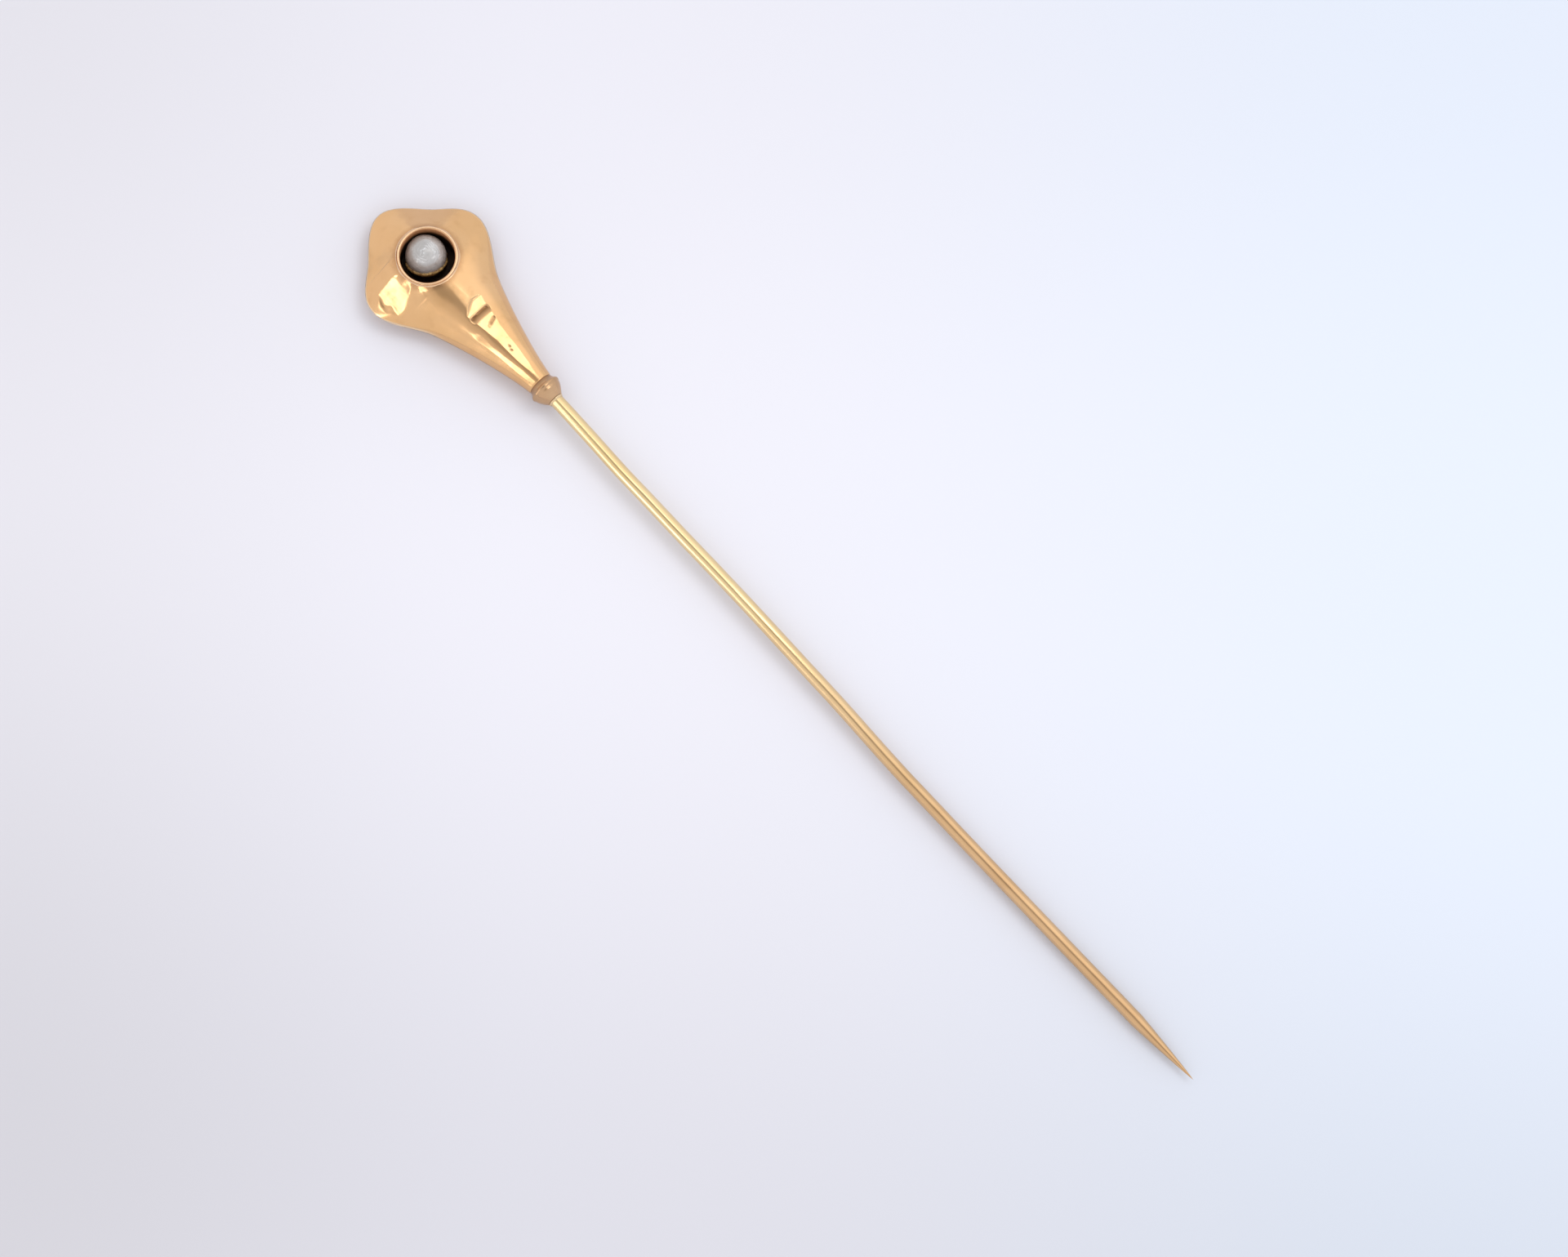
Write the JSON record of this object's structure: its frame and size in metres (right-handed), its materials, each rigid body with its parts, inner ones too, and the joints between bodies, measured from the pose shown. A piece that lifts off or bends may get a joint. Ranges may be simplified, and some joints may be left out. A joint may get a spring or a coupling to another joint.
{
  "type": "hat pin",
  "caption": "Pin with a hollow hood-shaped gold head, a pearl set deep in a raised round collet, a turned collar and a long pointed wire.",
  "frame": {"origin": "on the head's flat back, on its middle line, where the head is widest", "axes": "+X from the head to the point of the wire, +Z out of the front of the head, which lies face up"},
  "size_m": [0.0701, 0.0084, 0.0028],
  "materials": {
    "head_gold": "polished, softly worn, warm yellow gold",
    "collar_gold": "slightly tarnished, rosier gold",
    "wire_gold": "drawn and polished yellow gold",
    "solder": "bright gold solder",
    "pearl": "silvery grey nacre",
    "cement": "dull brown old cement"
  },
  "bodies": {
    "root": {"front_shell": "head_gold", "back_shell": "head_gold", "collet": "head_gold", "setting_floor": "head_gold", "pearl_peg": "head_gold", "pearl_cement": "cement", "pearl": "pearl", "collar": "collar_gold", "solder_bead": "solder", "wire": "wire_gold"}
  },
  "joints": []
}
